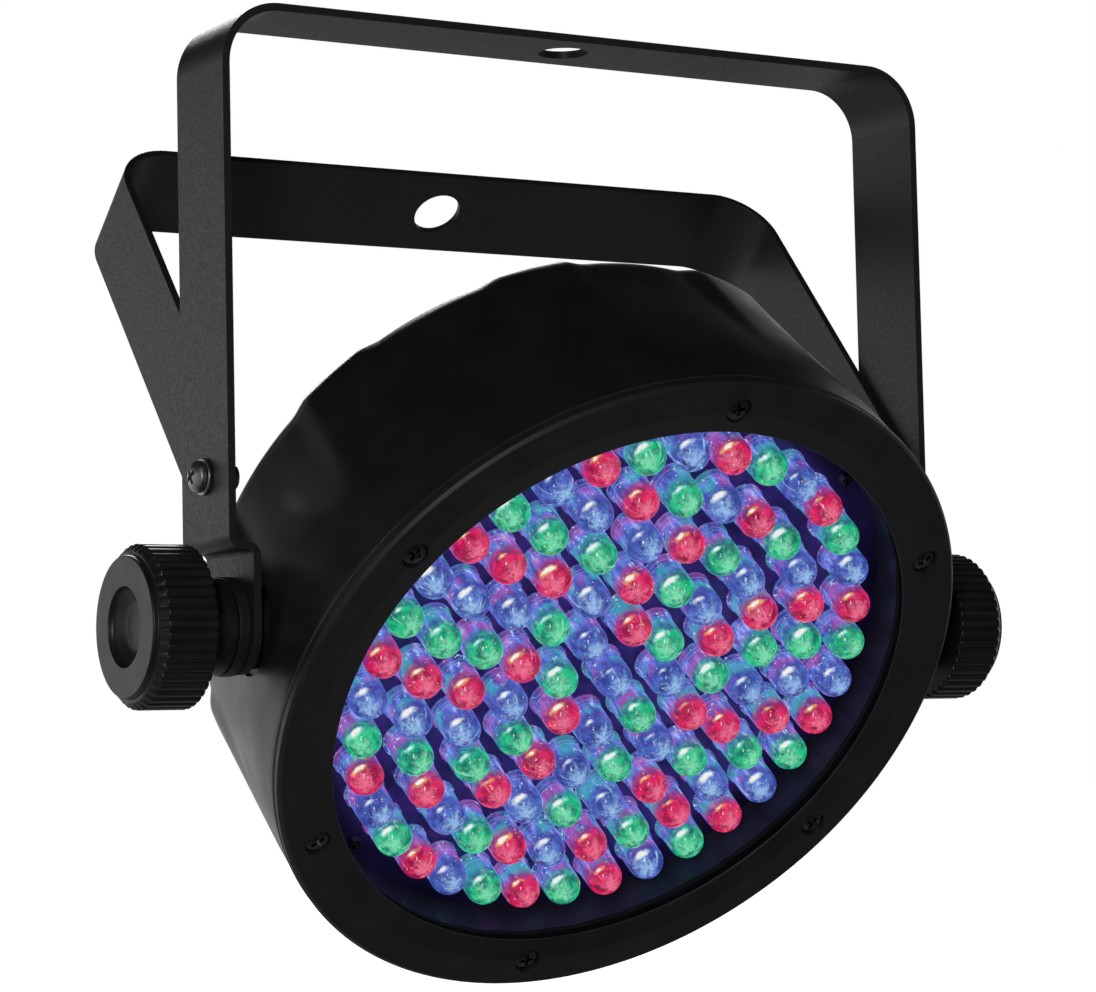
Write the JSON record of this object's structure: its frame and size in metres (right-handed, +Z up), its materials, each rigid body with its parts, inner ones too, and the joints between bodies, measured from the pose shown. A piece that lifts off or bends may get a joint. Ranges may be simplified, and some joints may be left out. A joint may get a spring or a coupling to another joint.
{
  "type": "par can light",
  "caption": "Slim LED par can light: a fluted drum full of LED lenses behind a clear window, tilting between clamp knobs on a hinged double bracket with clamp holes.",
  "frame": {"origin": "centre of the clamp hole on the front bracket's top face, where the light hangs", "axes": "+X along the knob axis to the viewer's right, -Y to the front where the light points, +Z up out of the clamp hole"},
  "size_m": [0.2576, 0.1662, 0.2497],
  "materials": {
    "bracket_coat": "satin black powder coat with a fine texture",
    "can_plastic": "moulded black plastic, satin",
    "bezel_plastic": "moulded black plastic, fine spark texture",
    "knob_plastic": "moulded black plastic, satin",
    "socket_nylon": "moulded black nylon",
    "button_nylon": "moulded dark grey nylon",
    "clear_window": "clear polished sheet",
    "led_lens": "water-clear epoxy",
    "led_red": "lit epoxy lens",
    "led_green": "lit epoxy lens",
    "led_blue": "lit epoxy lens",
    "smoked_window": "smoked polished sheet",
    "board_black": "black solder mask",
    "board_green": "green solder mask",
    "bright_steel": "zinc-plated steel",
    "black_steel": "black oxide steel",
    "brass": "machined",
    "seal_rubber": "soft moulded rubber",
    "switch_rubber": "moulded black plastic"
  },
  "bodies": {
    "yoke": {"front_bracket": "bracket_coat", "pivot_screw_left": "bright_steel", "pivot_screw_right": "bright_steel", "pivot_washer_left": "bright_steel", "pivot_washer_right": "bright_steel", "lock_nut_left": "bright_steel", "lock_nut_right": "bright_steel"},
    "can": {"can_body": "can_plastic", "bezel_ring": "bezel_plastic", "rear_cover": "can_plastic", "light_baffle": "can_plastic", "front_window": "clear_window", "window_gasket": "seal_rubber", "led_board": "board_black", "led_cluster": "led_lens", "chassis_plate": "bright_steel", "power_supply": "board_green", "control_board": "board_green", "display_window": "smoked_window", "microphone": "bright_steel", "power_inlet": "socket_nylon", "switch_frame": "socket_nylon", "data_in_socket": "socket_nylon", "data_out_socket": "socket_nylon", "bezel_screw_1": "black_steel", "bezel_screw_2": "black_steel", "bezel_screw_3": "black_steel", "bezel_screw_4": "black_steel", "bezel_screw_5": "black_steel", "bezel_screw_6": "black_steel", "board_screw_1": "black_steel", "board_standoff_1": "brass", "cover_screw_1": "black_steel", "board_screw_2": "black_steel", "board_standoff_2": "brass", "cover_screw_2": "black_steel", "board_screw_3": "black_steel", "board_standoff_3": "brass", "cover_screw_3": "black_steel", "board_screw_4": "black_steel", "board_standoff_4": "brass", "cover_screw_4": "black_steel", "friction_washer_left": "seal_rubber", "thread_insert_left": "brass", "friction_washer_right": "seal_rubber", "thread_insert_right": "brass"},
    "rear_yoke": {"rear_bracket": "bracket_coat"},
    "knob_collar_left": {"knob_washer_left": "socket_nylon"},
    "knob_collar_right": {"knob_washer_right": "socket_nylon"},
    "knob_left": {"knob_left": "knob_plastic", "knob_stud_left": "bright_steel"},
    "knob_right": {"knob_right": "knob_plastic", "knob_stud_right": "bright_steel"},
    "rocker": {"power_switch": "switch_rubber"},
    "button_menu": {"button_menu": "button_nylon"},
    "button_down": {"button_down": "button_nylon"},
    "button_up": {"button_up": "button_nylon"},
    "button_enter": {"button_enter": "button_nylon"}
  },
  "joints": [
    {"name": "tilt", "type": "hinge", "parent": "yoke", "child": "can", "pos_m": [0, 0, -0.1552], "axis": [1, 0, 0], "range_deg": [-128, 52]},
    {"name": "rear_bracket_swing", "type": "hinge", "parent": "yoke", "child": "rear_yoke", "pos_m": [0, 0, -0.118], "axis": [1, 0, 0], "range_deg": [-49.6, 130.4]},
    {"name": "knob_back_off_left", "type": "slide", "parent": "can", "child": "knob_collar_left", "axis": [-1, 0, 0], "range_m": [0, 0.00125]},
    {"name": "knob_turn_left", "type": "hinge", "parent": "knob_collar_left", "child": "knob_left", "pos_m": [-0.11, 0, -0.1552], "axis": [-1, 0, 0], "range_deg": [0, 360]},
    {"name": "knob_back_off_right", "type": "slide", "parent": "can", "child": "knob_collar_right", "axis": [1, 0, 0], "range_m": [0, 0.00125]},
    {"name": "knob_turn_right", "type": "hinge", "parent": "knob_collar_right", "child": "knob_right", "pos_m": [0.11, 0, -0.1552], "axis": [1, 0, 0], "range_deg": [0, 360]},
    {"name": "press_menu", "type": "slide", "parent": "can", "child": "button_menu", "axis": [0, -0.788, -0.6157], "range_m": [0, 0.0008], "stiffness_N_per_m": 500, "springref_m": -0.002},
    {"name": "press_down", "type": "slide", "parent": "can", "child": "button_down", "axis": [0, -0.788, -0.6157], "range_m": [0, 0.0008], "stiffness_N_per_m": 500, "springref_m": -0.002},
    {"name": "press_up", "type": "slide", "parent": "can", "child": "button_up", "axis": [0, -0.788, -0.6157], "range_m": [0, 0.0008], "stiffness_N_per_m": 500, "springref_m": -0.002},
    {"name": "press_enter", "type": "slide", "parent": "can", "child": "button_enter", "axis": [0, -0.788, -0.6157], "range_m": [0, 0.0008], "stiffness_N_per_m": 500, "springref_m": -0.002},
    {"name": "mains_switch", "type": "hinge", "parent": "can", "child": "rocker", "pos_m": [0.027, 0.05503, -0.17058], "axis": [0, -0.6157, 0.788], "range_deg": [-14, 0]}
  ],
  "couplings": [
    {"joint": "knob_back_off_left", "follows": "knob_turn_left", "m_per_rad": 0.00019894},
    {"joint": "knob_back_off_right", "follows": "knob_turn_right", "m_per_rad": 0.00019894}
  ]
}
